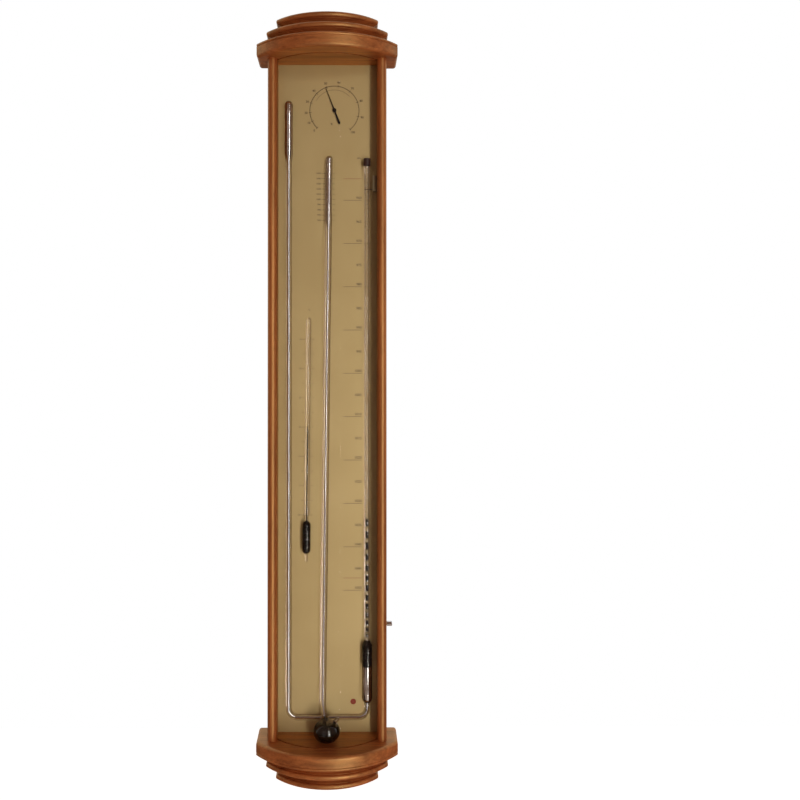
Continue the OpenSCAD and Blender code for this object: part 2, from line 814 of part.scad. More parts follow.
module stem_bulb(wall) {
    translate([0, 0, bulb_r]) sphere(r = bulb_r - wall);
    translate([0, 0, bulb_r]) cylinder(r = bulb_r - wall, h = bulb_len - 2 * bulb_r);
    translate([0, 0, bulb_len - bulb_r]) sphere(r = bulb_r - wall);
}

module thermometer_tube()
    color(clear_glass) on_stem_axis() difference() {
        union() {
            stem_bulb(0);
            translate([0, 0, -nipple_len]) cylinder(r = nipple_r, h = nipple_len + bulb_wall);
            translate([0, 0, -nipple_len]) sphere(r = nipple_r);
            translate([0, 0, bulb_len - bulb_wall]) cylinder(r = neck_r, h = neck_len + bulb_wall);
            translate([0, 0, bulb_len + neck_len]) cylinder(r1 = neck_r, r2 = stem_r, h = neck_taper);
            translate([0, 0, bulb_len + neck_len + neck_taper])
                cylinder(r = stem_r, h = stem_len - neck_len - neck_taper - stem_r);
            translate([0, 0, bulb_len + stem_len - stem_r]) sphere(r = stem_r);
            translate([0, 0, bulb_len + stem_len]) sphere(r = tip_r);
        }
        stem_bulb(bulb_wall);
        translate([0, 0, bulb_r]) cylinder(r = thread_r, h = thread_bore_end - bulb_r);
    }

module thermometer_liquid()
    color(dark_liquid) on_stem_axis() {
        stem_bulb(bulb_wall + slip);
        translate([0, 0, bulb_r]) cylinder(r = thread_r - slip, h = thread_top - bulb_r);
    }

// Hygrometer
module vent_places()
    for (i = [0:vents - 1]) at(hygro_x, -cut, hygro_z)
        rotate([90, 0, 0]) rotate([0, 0, 360 * (i + 0.5) / vents])
            translate([vent_ring_r, 0, 0]) children();

// Screws through the floor of the cup, counted from the floor's front face
module case_screw_places(lift)
    for (a = case_screw_angles) at(hygro_x, cup_floor_top, hygro_z)
        rotate([90, 0, 0]) rotate([0, 0, a]) translate([case_screw_ring_r, 0, lift]) children();

module pillar_places(lift)
    for (side = [-1, 1]) at(hygro_x + side * pillar_x, cup_floor_top, hygro_z)
        rotate([90, 0, 0]) translate([0, 0, lift]) children();

module hygrometer_case()
    color(brass) difference() {
        union() {
            difference() {
                bar_out(hygro_x, pocket_floor, hygro_z, cup_h, hygro_r);
                bar_out(hygro_x, cup_floor_top, hygro_z, cup_h, hygro_r - cup_wall);
            }
            pillar_places(-cup_wall / 2)
                cylinder(r = pillar_r, h = bridge_low - cup_floor_top + cup_wall / 2);
            bar_out(hygro_x, cup_floor_top - cup_wall / 2, hygro_z + post_ring_r,
                coil_w + cup_wall, post_r);
        }
        bar_out(hygro_x, pocket_floor - cut, hygro_z, cup_wall + 2 * cut, arbor_r + slip);
        vent_places() cylinder(r = vent_r, h = back_t);
        case_screw_places(-cup_wall - cut) cylinder(r = small_screw_r + slip, h = cup_wall + 2 * cut);
        pillar_places(bridge_low - cup_floor_top - small_screw_len)
            cylinder(r = small_screw_r + slip, h = small_screw_len + cut);
    }

// A cheese-head screw: its head stands on height 0 and its shank runs down
module small_screw() {
    cylinder(r = small_head_r, h = small_head_h);
    translate([0, 0, -small_screw_len]) cylinder(r = small_screw_r, h = small_screw_len);
}

module hygrometer_screws() color(steel) case_screw_places(0) small_screw();

// A point on one face of the spiral strip, its share of the way from the inner to the outer end
function coil_point(share, side) =
    let (a = 90 + 360 * coil_turns * (share - 1),
        r = coil_in_r + (coil_out_r - coil_in_r) * share + side * coil_t / 2)
    [r * cos(a), r * sin(a)];

// Spiral strip, from its free inner end to its outer end under the post
module humidity_coil() {
    steps = coil_turns * coil_steps;
    outer = [for (i = [0:steps]) coil_point(i / steps, 1)];
    inner = [for (i = [steps:-1:0]) coil_point(i / steps, -1)];
    color(brass) at(hygro_x, coil_low, hygro_z) rotate([90, 0, 0])
        linear_extrude(height = coil_w) polygon(concat(outer, inner));
}

module hygrometer_bridge()
    color(brass) difference() {
        block(around(hygro_x, bridge_half), from(bridge_low, bridge_t), around(hygro_z, bridge_w / 2));
        bar_out(hygro_x, bridge_low - cut, hygro_z, bridge_t + 2 * cut, arbor_r + slip);
        pillar_places(0) cylinder(r = small_screw_r + slip, h = back_t);
    }

module bridge_screws()
    color(steel) pillar_places(bridge_low + bridge_t - cup_floor_top) {
        cylinder(r = small_head_r, h = small_head_h);
        translate([0, 0, -small_screw_len]) cylinder(r = small_screw_r, h = small_screw_len);
    }

module pointer_arbor() color(steel) {
    bar_out(hygro_x, pocket_floor + slip, hygro_z, hub_low + hub_bore - pocket_floor - 2 * slip, arbor_r);
    bar_out(hygro_x, coil_low, hygro_z, coil_w, collar_r);
}

module hygrometer_pointer()
    color(black) difference() {
        union() {
            bar_out(hygro_x, hub_low, hygro_z, hub_t, hub_r);
            at(hygro_x, pointer_low, hygro_z) rotate([90, 0, 0]) rotate([0, 0, pointer_angle])
                linear_extrude(height = pointer_t) {
                    polygon([[0, pointer_root], [pointer_len, pointer_tip], [pointer_len, -pointer_tip],
                        [0, -pointer_root], [tail_r - pointer_tail, -tail_r],
                        [tail_r - pointer_tail, tail_r]]);
                    translate([tail_r - pointer_tail, 0]) circle(r = tail_r);
                }
        }
        bar_out(hygro_x, hub_low - cut, hygro_z, hub_bore + cut, arbor_r + slip);
    }

// Set pointer drive in the slot of the right side board
module sheave(z, bore)
    at(cord_x, slot_mid_d, z) rotate([0, 90, 0]) rotate_extrude() difference() {
        translate([bore, -sheave_w / 2]) square([rim_r - bore, sheave_w]);
        translate([sheave_r, rim_t - sheave_w / 2]) square([rim_r, sheave_w - 2 * rim_t]);
    }

module cord_drum() color(brass) sheave(knob_z, shaft_r + slip);
module upper_pulley() color(brass) sheave(pulley_z, pin_r + slip);

module knob_shaft()
    color(steel) bar_right(shaft_x, slot_mid_d, knob_z, knob_x + knob_bore - slip - shaft_x, shaft_r);

module shaft_bush()
    color(brass) difference() {
        union() {
            bar_right(slot_floor_x, slot_mid_d, knob_z, half_outer - slot_floor_x, bush_r);
            bar_right(half_outer, slot_mid_d, knob_z, bush_flange_t, bush_flange_r);
        }
        bar_right(slot_floor_x - cut, slot_mid_d, knob_z, side_t, shaft_r + slip);
    }

module setting_knob()
    color(steel) at(knob_x, slot_mid_d, knob_z) rotate([0, 90, 0]) rotate_extrude() polygon([
        [shaft_r + slip, 0], [knob_r - knob_edge, 0], [knob_r, knob_edge], [knob_r, knob_len - knob_edge],
        [knob_r - knob_edge, knob_len], [0, knob_len], [0, knob_bore], [shaft_r + slip, knob_bore]]);

module pulley_pin() color(steel) {
    far_side = cord_x + sheave_w / 2 + part_gap;
    head_x = cord_x - sheave_w / 2 - part_gap - pin_head_t;
    bar_right(head_x, slot_mid_d, pulley_z, slot_floor_x + pin_bite - head_x, pin_r);
    bar_right(head_x, slot_mid_d, pulley_z, pin_head_t, pin_collar_r);
    bar_right(far_side, slot_mid_d, pulley_z, slot_floor_x - far_side, pin_collar_r);
}

// The endless cord: two strands and a half turn round each sheave
module half_wrap(z, turn)
    at(cord_x, slot_mid_d, z) rotate([0, 90, 0]) rotate([0, 0, turn])
        rotate_extrude(angle = 180) translate([wrap_r, 0]) circle(r = cord_r, $fn = 24);

module pointer_cord() color(black) {
    for (side = [-1, 1]) at(cord_x, slot_mid_d + side * wrap_r, knob_z)
        cylinder(r = cord_r, h = pulley_z - knob_z, $fn = 24);
    half_wrap(pulley_z, 90);
    half_wrap(knob_z, -90);
}

module pointer_slider()
    color(grey) difference() {
        foot_z = line_z - line_above_foot;
        union() {
            block([shoe_x, shoe_end_x], around(slot_mid_d, slot_w / 2 - part_gap), from(foot_z, slider_h));
            block([arm_end_x - cut, shoe_x + cut], [arm_low_d, neck_high_d], from(foot_z, slider_h));
            block([arm_x, arm_end_x], [arm_low_d, arm_high_d], from(foot_z, slider_h));
        }
        for (side = [-1, 1]) at(cord_x, slot_mid_d + side * wrap_r, foot_z - cut)
            cylinder(r = cord_hole_r, h = slider_h + 2 * cut);
        bar_right(arm_x - cut, wire_d, line_z, needle_bite + cut, needle_r + slip);
    }

module pointer_wire()
    color(black) bar_right(needle_x, wire_d, line_z, arm_x + needle_bite - slip - needle_x, needle_r);

back_board();
left_side_board();
right_side_board();
cornice_lower();
cornice_middle();
cornice_upper();
plinth_upper();
plinth_middle();
plinth_lower();
case_dowels();
back_board_screws();
bow_glass();
scale_plate();
hanger_plate();
hanger_screws();
barometer_tube();
barometer_mercury();
barometer_ties();
contra_tube();
contra_mercury();
indicator_liquid();
contra_cap();
contra_ties();
thermometer_tube();
thermometer_liquid();
thermometer_ties();
hygrometer_case();
hygrometer_screws();
humidity_coil();
hygrometer_bridge();
bridge_screws();
pointer_arbor();
hygrometer_pointer();
setting_knob();
knob_shaft();
shaft_bush();
cord_drum();
pointer_cord();
upper_pulley();
pulley_pin();
pointer_slider();
pointer_wire();
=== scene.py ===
"""Looks of the wall barometer around its fixed frame: wood, gilt scale plate, print, glass and mercury.

x runs to the right, d out from the wall and z up from the hanger. Sizes are millimetres times MM.
"""

import math

import bmesh
import bpy
from mathutils import Matrix, Vector


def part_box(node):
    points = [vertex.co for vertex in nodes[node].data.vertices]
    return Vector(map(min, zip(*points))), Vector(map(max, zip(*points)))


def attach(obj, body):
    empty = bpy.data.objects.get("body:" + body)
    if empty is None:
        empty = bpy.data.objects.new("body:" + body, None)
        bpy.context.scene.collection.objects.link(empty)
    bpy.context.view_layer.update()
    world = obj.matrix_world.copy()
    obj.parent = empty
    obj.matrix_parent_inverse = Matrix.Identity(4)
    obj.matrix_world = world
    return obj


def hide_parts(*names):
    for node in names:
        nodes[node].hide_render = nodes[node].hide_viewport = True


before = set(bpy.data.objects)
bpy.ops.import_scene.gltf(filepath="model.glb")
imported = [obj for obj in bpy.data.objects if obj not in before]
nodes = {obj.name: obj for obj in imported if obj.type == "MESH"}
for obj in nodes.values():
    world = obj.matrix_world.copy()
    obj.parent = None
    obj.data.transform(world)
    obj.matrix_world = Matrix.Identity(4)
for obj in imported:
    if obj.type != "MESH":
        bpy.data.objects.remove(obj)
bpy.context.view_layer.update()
MM = 0.001

# Places taken from the frame
floor_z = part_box("plinth_upper")[1].z
plate_d = -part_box("scale_plate")[0].y
arbor_low, arbor_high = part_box("pointer_arbor")
dial_x = (arbor_low.x + arbor_high.x) / 2
dial_z = (arbor_low.z + arbor_high.z) / 2

# Height of the mercury's surface in the cistern
pool_top_z = floor_z + 31 * MM

# Depth of the fine marks that tools and drawing leave in a skin
skin_depth = 0.01 * MM


# Shader helpers
def new_material(name):
    """An empty material with a Principled shader; returns it, its node tree and the shader."""
    material = bpy.data.materials.new(name)
    material.use_nodes = True
    tree = material.node_tree
    shader = tree.nodes["Principled BSDF"]
    return material, tree, shader


def add(tree, kind, **values):
    """Adds a node and sets its inputs by name, or its properties."""
    node = tree.nodes.new(kind)
    for key, value in values.items():
        if key in node.inputs:
            node.inputs[key].default_value = value
        else:
            setattr(node, key, value)
    return node


def object_coords(tree, scale=(1, 1, 1), place=(0, 0, 0)):
    """Object coordinates, moved and stretched."""
    coords = add(tree, "ShaderNodeTexCoord")
    mapping = add(tree, "ShaderNodeMapping", Location=place, Scale=scale)
    tree.links.new(coords.outputs["Object"], mapping.inputs["Vector"])
    return mapping.outputs["Vector"]


def drawn_out(along, share):
    """The scale that draws a pattern out along one axis; no axis leaves it even."""
    scale = [1.0, 1.0, 1.0]
    if along:
        scale["xyz".index(along)] = share
    return scale


def noise(tree, coords, scale, detail=3.0, roughness=0.5, distortion=0.0):
    """A noise pattern between 0 and 1."""
    node = add(tree, "ShaderNodeTexNoise", Scale=scale, Detail=detail, Roughness=roughness,
               Distortion=distortion)
    tree.links.new(coords, node.inputs["Vector"])
    return node.outputs["Fac"]


def ramp(tree, factor, stops):
    """A colour ramp; stops are (place, colour or grey)."""
    node = add(tree, "ShaderNodeValToRGB")
    tree.links.new(factor, node.inputs["Fac"])
    elements = node.color_ramp.elements
    for element, (place, colour) in zip(elements, stops):
        element.position = place
        element.color = (*colour, 1) if isinstance(colour, tuple) else (colour, colour, colour, 1)
    return node.outputs["Color"]


def fill(tree, socket, value):
    """Gives a socket a link, a colour or a number."""
    if isinstance(value, bpy.types.NodeSocket):
        tree.links.new(value, socket)
    elif isinstance(value, tuple):
        socket.default_value = (*value, 1)
    else:
        socket.default_value = value


def mix(tree, factor, first, second, blend="MIX"):
    """Mixes two colours; each may be a socket or a colour."""
    node = add(tree, "ShaderNodeMix", data_type="RGBA", blend_type=blend)
    colour_inputs = [socket for socket in node.inputs if socket.type == "RGBA"]
    fill(tree, node.inputs[0], factor)
    fill(tree, colour_inputs[0], first)
    fill(tree, colour_inputs[1], second)
    return next(socket for socket in node.outputs if socket.type == "RGBA")


def times(tree, first, second):
    """One colour multiplied by another."""
    return mix(tree, 1.0, first, second, "MULTIPLY")


def math_node(tree, operation, *values):
    """Works out a number from others; each may be a socket or a number."""
    node = add(tree, "ShaderNodeMath", operation=operation)
    for socket, value in zip(node.inputs, values):
        fill(tree, socket, value)
    return node.outputs[0]


def bump(tree, shader, height, distance, strength):
    """Raises the shader's surface by a height pattern; returns the bent normal."""
    node = add(tree, "ShaderNodeBump", Strength=strength, Distance=distance)
    tree.links.new(height, node.inputs["Height"])
    tree.links.new(node.outputs["Normal"], shader.inputs["Normal"])
    return node.outputs["Normal"]


def blend_shaders(tree, share, first, second):
    """Sends a blend of two shaders to the surface."""
    mixer = add(tree, "ShaderNodeMixShader")
    fill(tree, mixer.inputs[0], share)
    tree.links.new(first.outputs[0], mixer.inputs[1])
    tree.links.new(second.outputs[0], mixer.inputs[2])
    tree.links.new(mixer.outputs[0], tree.nodes["Material Output"].inputs["Surface"])


def toned(colour, gain, haze=0.0):
    """A colour made stronger or weaker, with a little haze."""
    return tuple(min(1.0, part * gain + haze) for part in colour)


# Finishes
def varnished_wood(name, along, seed):
    """Varnished cherry whose grain runs along one axis: soft rings, fine streaks and short dark pores."""
    light_wood = (0.44, 0.094, 0.024)
    dark_wood = (0.20, 0.034, 0.008)
    light_varnish = (1.0, 0.70, 0.24)
    dark_varnish = (0.70, 0.45, 0.14)
    varnish_share = 0.23
    grain_share = 0.045
    seed_place = (seed * 0.37, seed * 0.23, seed * 0.31)
    dark_until = 0.34
    light_from = 0.62
    material, tree, shader = new_material(name)
    coords = object_coords(tree, drawn_out(along, grain_share), seed_place)
    wide = noise(tree, coords, 75, detail=2.0, roughness=0.45, distortion=0.6)
    rings = noise(tree, coords, 260, detail=3.0, roughness=0.55, distortion=0.4)
    streaks = noise(tree, coords, 1300, detail=2.0, roughness=0.6)
    pores = noise(tree, coords, 2600, detail=1.0, roughness=0.5)
    half_wide = math_node(tree, "MULTIPLY", wide, 0.5)
    half_rings = math_node(tree, "MULTIPLY", rings, 0.5)
    figure = math_node(tree, "ADD", half_wide, half_rings)
    streak_tone = ramp(tree, streaks, [(0.3, 0.80), (0.7, 1.0)])
    pore_tone = ramp(tree, pores, [(0.28, 0.66), (0.35, 1.0)])
    wood = ramp(tree, figure, [(dark_until, dark_wood), (light_from, light_wood)])
    wood = times(tree, times(tree, wood, streak_tone), pore_tone)
    tree.links.new(wood, shader.inputs["Base Color"])
    dullness = ramp(tree, rings, [(0.3, 0.42), (0.7, 0.52)])
    tree.links.new(dullness, shader.inputs["Roughness"])
    shader.inputs["Specular IOR Level"].default_value = 0.25
    relief = math_node(tree, "ADD", math_node(tree, "MULTIPLY", streaks, 0.4), pore_tone)
    surface = bump(tree, shader, relief, 0.04 * MM, 0.6)
    varnish = add(tree, "ShaderNodeBsdfGlossy")
    warm = ramp(tree, figure, [(dark_until, dark_varnish), (light_from, light_varnish)])
    warm = times(tree, times(tree, warm, streak_tone), pore_tone)
    tree.links.new(warm, varnish.inputs["Color"])
    tree.links.new(dullness, varnish.inputs["Roughness"])
    tree.links.new(surface, varnish.inputs["Normal"])
    blend_shaders(tree, varnish_share, shader, varnish)
    return material


def gilt_plate():
    """Satin gold anodised sheet: faint brushed lines, soft clouding and fine specks."""
    dull_gold = (0.520, 0.402, 0.196)
    bright_gold = (0.568, 0.446, 0.225)
    brush_share = 0.01
    material, tree, shader = new_material("gilt_plate")
    even = object_coords(tree)
    brushed = object_coords(tree, drawn_out("z", brush_share))
    lines = noise(tree, brushed, 2400, detail=2.0, roughness=0.6)
    clouds = noise(tree, even, 9, detail=3.0, roughness=0.5, distortion=0.3)
    specks = noise(tree, even, 3800, detail=1.0, roughness=0.5)
    cloud_tone = ramp(tree, clouds, [(0.3, dull_gold), (0.7, bright_gold)])
    line_tone = ramp(tree, lines, [(0.25, 0.94), (0.75, 1.0)])
    tree.links.new(times(tree, cloud_tone, line_tone), shader.inputs["Base Color"])
    shader.inputs["Metallic"].default_value = 0.75
    tree.links.new(ramp(tree, lines, [(0.2, 0.51), (0.8, 0.61)]), shader.inputs["Roughness"])
    relief = math_node(tree, "ADD", lines, math_node(tree, "MULTIPLY", specks, 0.3))
    bump(tree, shader, relief, skin_depth, 0.35)
    return material


def printed_ink(name, colour):
    """Screen-printed ink, a little uneven where it lies thin."""
    material, tree, shader = new_material(name)
    cover = noise(tree, object_coords(tree), 2200, detail=2.0)
    thin = toned(colour, 1.6, 0.012)
    tree.links.new(ramp(tree, cover, [(0.35, colour), (0.75, thin)]), shader.inputs["Base Color"])
    tree.links.new(ramp(tree, cover, [(0.3, 0.45), (0.7, 0.62)]), shader.inputs["Roughness"])
    return material


def blown_glass():
    """Blown tube glass with faint drawing lines and painted shade along its rims, dark brown where the
    tube turns away, standing in for the dark room seen there; the lamps shine through it.
    """
    middle_tint = (0.90, 0.88, 0.88)
    painted_rim_shade = (0.22, 0.12, 0.10)
    shadow_tint = (0.92, 0.91, 0.90, 1)
    line_share = 0.03
    material, tree, shader = new_material("clear_glass")
    lines = noise(tree, object_coords(tree, drawn_out("z", line_share)), 900, detail=2.0)
    # Painted shade: the base colour turns dark brown where the surface faces away, standing in for the
    # dark room that the rims show
    turned_away = add(tree, "ShaderNodeLayerWeight", Blend=0.5)
    tone_with_painted_rim = ramp(tree, turned_away.outputs["Facing"], [(0.22, middle_tint), (0.55, painted_rim_shade)])
    tree.links.new(tone_with_painted_rim, shader.inputs["Base Color"])
    shader.inputs["Transmission Weight"].default_value = 1.0
    shader.inputs["IOR"].default_value = 1.47
    tree.links.new(ramp(tree, lines, [(0.3, 0.006), (0.8, 0.014)]), shader.inputs["Roughness"])
    bump(tree, shader, lines, skin_depth, 0.08)
    path = add(tree, "ShaderNodeLightPath")
    clear = add(tree, "ShaderNodeBsdfTransparent", Color=shadow_tint)
    blend_shaders(tree, path.outputs["Is Shadow Ray"], shader, clear)
    return material


def pane_glass():
    """The bowed pane: clear sheet that shows only its gloss, strongest where it curves away."""
    front_share = 0.0002
    edge_share = 0.6
    edge_power = 3.5
    material, tree, shader = new_material("pane_glass")
    tree.nodes.remove(shader)
    dust = noise(tree, object_coords(tree), 60, detail=4.0, roughness=0.6)
    gloss = add(tree, "ShaderNodeBsdfGlossy", Color=(0.9, 0.92, 0.92, 1))
    tree.links.new(ramp(tree, dust, [(0.4, 0.02), (0.8, 0.06)]), gloss.inputs["Roughness"])
    clear = add(tree, "ShaderNodeBsdfTransparent", Color=(0.985, 0.99, 0.985, 1))
    turned_away = add(tree, "ShaderNodeLayerWeight", Blend=0.5)
    edge = math_node(tree, "POWER", turned_away.outputs["Facing"], edge_power)
    share = math_node(tree, "MULTIPLY_ADD", edge, edge_share, front_share)
    blend_shaders(tree, share, clear, gloss)
    return material


def liquid_metal(name, painted_shade_grey=None):
    """Mercury: a mirror with the faintest skin; when a painted-shade grey is given, the pool below the
    cistern's surface height is painted that dark, standing in for the dark reflection there.
    """
    bright = (0.80, 0.80, 0.80)
    skinned = (0.72, 0.72, 0.744)
    pool_fade = 10 * MM
    material, tree, shader = new_material(name)
    skin = noise(tree, object_coords(tree), 160, detail=3.0, roughness=0.5)
    colour = ramp(tree, skin, [(0.3, skinned), (0.7, bright)])
    # Painted shade: below the cistern's surface height the mirror colour drops to a dark grey, standing
    # in for the dark things the pool reflects
    if painted_shade_grey is not None:
        parts = add(tree, "ShaderNodeSeparateXYZ")
        tree.links.new(object_coords(tree, place=(0, 0, -pool_top_z)), parts.inputs[0])
        height = math_node(tree, "MULTIPLY_ADD", parts.outputs["Z"], 1 / pool_fade, 0.5)
        above = ramp(tree, height, [(0.3, 0.0), (0.7, 1.0)])
        colour = mix(tree, above, (painted_shade_grey, painted_shade_grey, painted_shade_grey), colour)
    tree.links.new(colour, shader.inputs["Base Color"])
    shader.inputs["Metallic"].default_value = 1.0
    tree.links.new(ramp(tree, skin, [(0.3, 0.016), (0.75, 0.026)]), shader.inputs["Roughness"])
    return material


def metal(name, colour, low, high, scale=900, along=None):
    """Plain metal with fine tool marks; low and high are the roughness between them."""
    mark_share = 0.05
    material, tree, shader = new_material(name)
    coords = object_coords(tree, drawn_out(along, mark_share))
    marks = noise(tree, coords, scale, detail=3.0, roughness=0.6)
    tone = ramp(tree, marks, [(0.3, toned(colour, 0.86)), (0.7, colour)])
    tree.links.new(tone, shader.inputs["Base Color"])
    shader.inputs["Metallic"].default_value = 1.0
    tree.links.new(ramp(tree, marks, [(0.3, low), (0.7, high)]), shader.inputs["Roughness"])
    bump(tree, shader, marks, skin_depth, 0.4)
    return material


def smooth_stuff(name, colour, low, high, scale=1200, depth=skin_depth, gloss=0.5):
    """Paint, plastic, rubber or dyed liquid: one colour with a fine skin, of low to high roughness."""
    material, tree, shader = new_material(name)
    skin = noise(tree, object_coords(tree), scale, detail=3.0, roughness=0.55)
    tone = ramp(tree, skin, [(0.3, colour), (0.7, toned(colour, 1.18, 0.004))])
    tree.links.new(tone, shader.inputs["Base Color"])
    tree.links.new(ramp(tree, skin, [(0.3, low), (0.7, high)]), shader.inputs["Roughness"])
    shader.inputs["Specular IOR Level"].default_value = gloss
    bump(tree, shader, skin, depth, 0.4)
    return material


black_ink = printed_ink("black_ink", (0.050, 0.032, 0.018))
red_ink = printed_ink("red_ink", (0.20, 0.030, 0.007))
spot_ink = printed_ink("spot_ink", (0.20, 0.016, 0.001))
clear_glass = blown_glass()
mercury = liquid_metal("mercury")
# The cistern's pool is painted near black: painted shade for its dark reflection
cistern_mercury = liquid_metal("cistern_mercury", painted_shade_grey=0.05)
steel = metal("steel_parts", (0.62, 0.61, 0.60), 0.22, 0.34)
wire_steel = metal("tie_wire", (0.70, 0.69, 0.67), 0.14, 0.24, scale=2500)
brass = metal("brass_parts", (0.72, 0.52, 0.22), 0.24, 0.36)
chrome = metal("knob_chrome", (0.74, 0.74, 0.76), 0.05, 0.12, scale=1800, along="x")
black_paint = smooth_stuff("black_paint", (0.010, 0.005, 0.003), 0.50, 0.62, gloss=0.2)
dark_liquid = smooth_stuff("dark_liquid", (0.003, 0.001, 0.001), 0.06, 0.12, scale=500,
                           depth=0.001 * MM, gloss=0.15)
cap_rubber = smooth_stuff("cap_rubber", (0.030, 0.008, 0.007), 0.34, 0.50)
slider_grey = smooth_stuff("slider_grey", (0.17, 0.120, 0.060), 0.50, 0.62)
cord_black = smooth_stuff("cord_black", (0.012, 0.011, 0.010), 0.7, 0.85, scale=4000, depth=0.05 * MM)

# Wooden nodes: the name of their wood and the way its grain runs
wooden_nodes = [
    ("back_board", "wood_back", "z"),
    ("left_side_board", "wood_left", "z"),
    ("right_side_board", "wood_right", "z"),
    ("cornice_lower", "wood_cornice_lower", "x"),
    ("cornice_middle", "wood_cornice_middle", "x"),
    ("cornice_upper", "wood_cornice_upper", "x"),
    ("plinth_upper", "wood_plinth_upper", "x"),
    ("plinth_middle", "wood_plinth_middle", "x"),
    ("plinth_lower", "wood_plinth_lower", "x"),
    ("case_dowels", "wood_dowels", "z"),
]
node_finish = {}
for number, (node_name, wood_name, grain) in enumerate(wooden_nodes, start=1):
    node_finish[node_name] = varnished_wood(wood_name, grain, number)
node_finish.update({
    "bow_glass": pane_glass(),
    "scale_plate": gilt_plate(),
    "contra_cap": cap_rubber,
    "setting_knob": chrome,
    "pointer_cord": cord_black,
    "pointer_slider": slider_grey,
})
for finish, node_names in (
        (clear_glass, ("barometer_tube", "contra_tube", "thermometer_tube")),
        (wire_steel, ("barometer_ties", "contra_ties", "thermometer_ties")),
        (brass, ("hygrometer_case", "humidity_coil", "hygrometer_bridge", "shaft_bush", "cord_drum",
                 "upper_pulley")),
        (black_paint, ("hygrometer_pointer", "pointer_wire"))):
    for node_name in node_names:
        node_finish[node_name] = finish
for node_name, node in nodes.items():
    node.data.materials.clear()
    node.data.materials.append(node_finish.get(node_name, steel))


def add_piece(name, mesh, finish):
    """Puts a mesh in the scene as a piece with one finish."""
    piece = bpy.data.objects.new(name, mesh)
    bpy.context.collection.objects.link(piece)
    mesh.name = name
    mesh.materials.clear()
    mesh.materials.append(finish)
    return piece


def wetting(name, finish):
    """A liquid that wets its glass: the frame's liquid, grown until it meets the wall all round."""
    growth = 0.12 * MM
    weld = 0.002 * MM
    rim_angle = math.radians(40)
    source = nodes[name]
    shape = bmesh.new()
    shape.from_mesh(source.data)
    shape.transform(source.matrix_world)
    bmesh.ops.remove_doubles(shape, verts=shape.verts, dist=weld)
    bmesh.ops.recalc_face_normals(shape, faces=shape.faces)
    shape.normal_update()
    outward = [vertex.normal.copy() for vertex in shape.verts]
    for vertex, way in zip(shape.verts, outward):
        vertex.co += way * growth
    shape.normal_update()
    for face in shape.faces:
        face.smooth = True
    for edge in shape.edges:
        edge.smooth = edge.calc_face_angle(math.pi) < rim_angle
    mesh = bpy.data.meshes.new(name + "_wetting")
    shape.to_mesh(mesh)
    shape.free()
    piece = add_piece(name + "_wetting", mesh, finish)
    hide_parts(name)
    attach(piece, "case")
    return piece


wetting("barometer_mercury", cistern_mercury)
leg_mercury = wetting("contra_mercury", mercury)
leg_mercury.visible_shadow = False
wetting("thermometer_liquid", dark_liquid)
wetting("indicator_liquid", dark_liquid)

# Print on the plate
print_t = 0.04 * MM
print_y = -plate_d - print_t / 2
upright = Matrix.Rotation(math.radians(90), 4, "X")


def mark_row_tree():
    """Geometry nodes: a row of small bars, straight or round an arc, joined to what came before."""
    tree = bpy.data.node_groups.new("mark_row", "GeometryNodeTree")
    link = tree.links.new
    sockets = [("Geometry", "Geometry"), ("Count", "Int"), ("First", "Vector"), ("Step", "Vector"),
               ("Size", "Vector"), ("Turn", "Float"), ("Turn step", "Float"), ("Radius", "Float"),
               ("Ink", "Material")]
    for name, kind in sockets:
        tree.interface.new_socket(name=name, in_out="INPUT", socket_type="NodeSocket" + kind)
    tree.interface.new_socket(name="Geometry", in_out="OUTPUT", socket_type="NodeSocketGeometry")
    given = add(tree, "NodeGroupInput")
    line = add(tree, "GeometryNodeMeshLine", mode="OFFSET")
    link(given.outputs["Count"], line.inputs["Count"])
    link(given.outputs["First"], line.inputs["Start Location"])
    link(given.outputs["Step"], line.inputs["Offset"])
    index = add(tree, "GeometryNodeInputIndex")
    angle = math_node(tree, "MULTIPLY_ADD", index.outputs[0], given.outputs["Turn step"],
                      given.outputs["Turn"])
    back = math_node(tree, "MULTIPLY", angle, -1.0)
    turn = add(tree, "ShaderNodeCombineXYZ")
    link(back, turn.inputs["Y"])
    out = add(tree, "ShaderNodeCombineXYZ")
    link(given.outputs["Radius"], out.inputs["X"])
    swing = add(tree, "ShaderNodeVectorRotate", rotation_type="Y_AXIS")
    link(out.outputs[0], swing.inputs["Vector"])
    link(back, swing.inputs["Angle"])
    place = add(tree, "GeometryNodeSetPosition")
    link(line.outputs[0], place.inputs["Geometry"])
    link(swing.outputs[0], place.inputs["Offset"])
    bar = add(tree, "GeometryNodeMeshCube")
    link(given.outputs["Size"], bar.inputs["Size"])
    copies = add(tree, "GeometryNodeInstanceOnPoints")
    link(place.outputs[0], copies.inputs["Points"])
    link(bar.outputs[0], copies.inputs["Instance"])
    link(turn.outputs[0], copies.inputs["Rotation"])
    solid = add(tree, "GeometryNodeRealizeInstances")
    link(copies.outputs[0], solid.inputs[0])
    inked = add(tree, "GeometryNodeSetMaterial")
    link(solid.outputs[0], inked.inputs["Geometry"])
    link(given.outputs["Ink"], inked.inputs["Material"])
    joined = add(tree, "GeometryNodeJoinGeometry")
    link(given.outputs["Geometry"], joined.inputs[0])
    link(inked.outputs[0], joined.inputs[0])
    result = add(tree, "NodeGroupOutput")
    link(joined.outputs[0], result.inputs[0])
    return tree


mark_tree = mark_row_tree()
mark_sockets = {s.name: s.identifier for s in mark_tree.interface.items_tree if s.in_out == "INPUT"}


